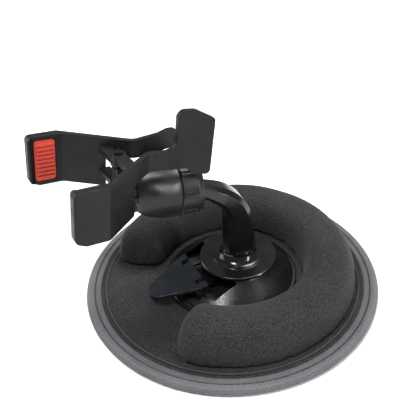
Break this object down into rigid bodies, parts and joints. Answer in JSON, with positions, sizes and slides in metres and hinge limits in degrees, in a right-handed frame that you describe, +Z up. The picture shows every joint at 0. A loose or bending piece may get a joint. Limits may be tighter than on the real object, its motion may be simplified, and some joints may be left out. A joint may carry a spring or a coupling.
{
  "type": "car phone mount",
  "caption": "Weighted fabric dashboard base with a lever-locked suction foot, a bent swivel arm, a ball joint with a ring nut and a sprung pinch clip.",
  "frame": {"origin": "centre of the round base on the surface it stands on", "axes": "+Z up, +X to the right seen from the front; the clip faces -Y"},
  "size_m": [0.192, 0.2034, 0.1365],
  "materials": {
    "rubber": "matte",
    "board": "matte",
    "knit": "fine charcoal knit",
    "light_binding": "woven light grey tape",
    "beads": "fine glass beads",
    "gloss_black": "gloss",
    "satin_black": "satin",
    "matte_black": "fine texture",
    "red_rubber": "matte",
    "steel": "zinc plated"
  },
  "bodies": {
    "base": {"grip_pad": "rubber", "base_board": "board", "base_fabric": "knit", "mounting_disc": "gloss_black", "edge_binding": "light_binding", "trim_band": "light_binding", "seam_piping": "light_binding", "cushion_cover": "knit", "bead_fill": "beads", "suction_cup": "rubber", "suction_housing": "gloss_black", "return_spring": "steel", "swivel_washer": "satin_black"},
    "plunger": {"plunger_stud": "gloss_black", "lift_yoke": "steel", "lever_pin": "steel"},
    "lever": {"suction_lever": "gloss_black"},
    "arm": {"swivel_arm": "gloss_black", "pivot_screw": "steel", "retaining_washer": "steel"},
    "ball_ring": {"friction_ring": "rubber"},
    "ball_cup": {"seat_cup": "satin_black"},
    "head": {"socket_housing": "satin_black", "fixed_jaw_arm": "matte_black", "fixed_jaw_pad": "red_rubber", "hinge_pin": "steel", "pin_clip": "steel", "clamp_spring": "steel", "saddle_screw": "steel"},
    "nut": {"ring_nut": "satin_black"},
    "moving_jaw": {"moving_jaw_arm": "matte_black", "moving_jaw_pad": "red_rubber"}
  },
  "joints": [
    {"name": "arm_swivel", "type": "hinge", "parent": "base", "child": "arm", "pos_m": [0.0033, 0.0029, 0.0207], "axis": [0, 0, 1], "continuous": true},
    {"name": "head_tilt", "type": "hinge", "parent": "arm", "child": "ball_ring", "pos_m": [-0.00798, -0.03921, 0.0847], "axis": [0.9659, -0.2588, 0], "range_deg": [-14, 10]},
    {"name": "head_pan", "type": "hinge", "parent": "ball_ring", "child": "ball_cup", "pos_m": [-0.00798, -0.03921, 0.0847], "axis": [0.0289, 0.1077, 0.9938], "range_deg": [-10, 10]},
    {"name": "head_roll", "type": "hinge", "parent": "ball_cup", "child": "head", "pos_m": [-0.00798, -0.03921, 0.0847], "axis": [-0.2572, -0.9599, 0.1115], "range_deg": [-180, 180]},
    {"name": "nut_turn", "type": "hinge", "parent": "head", "child": "nut", "pos_m": [-0.00798, -0.03921, 0.0847], "axis": [-0.2572, -0.9599, 0.1115], "range_deg": [0, 180]},
    {"name": "jaw_pivot", "type": "hinge", "parent": "head", "child": "moving_jaw", "pos_m": [-0.01005, -0.0688, 0.08924], "axis": [-0.0106, -0.1509, -0.9885], "range_deg": [-35, 17], "stiffness_Nm_per_rad": 0.12},
    {"name": "plunger_slide", "type": "slide", "parent": "base", "child": "plunger", "axis": [0, 0, -1], "range_m": [0, 0.002], "deforming": ["return_spring", "suction_cup"]},
    {"name": "lever_flip", "type": "hinge", "parent": "plunger", "child": "lever", "pos_m": [-0.00486, -0.02757, 0.015], "axis": [-0.9848, 0.1736, 0], "range_deg": [0, 75]}
  ],
  "couplings": [
    {"joint": "lever_flip", "follows": "plunger_slide", "rad_per_m": 654.5}
  ]
}
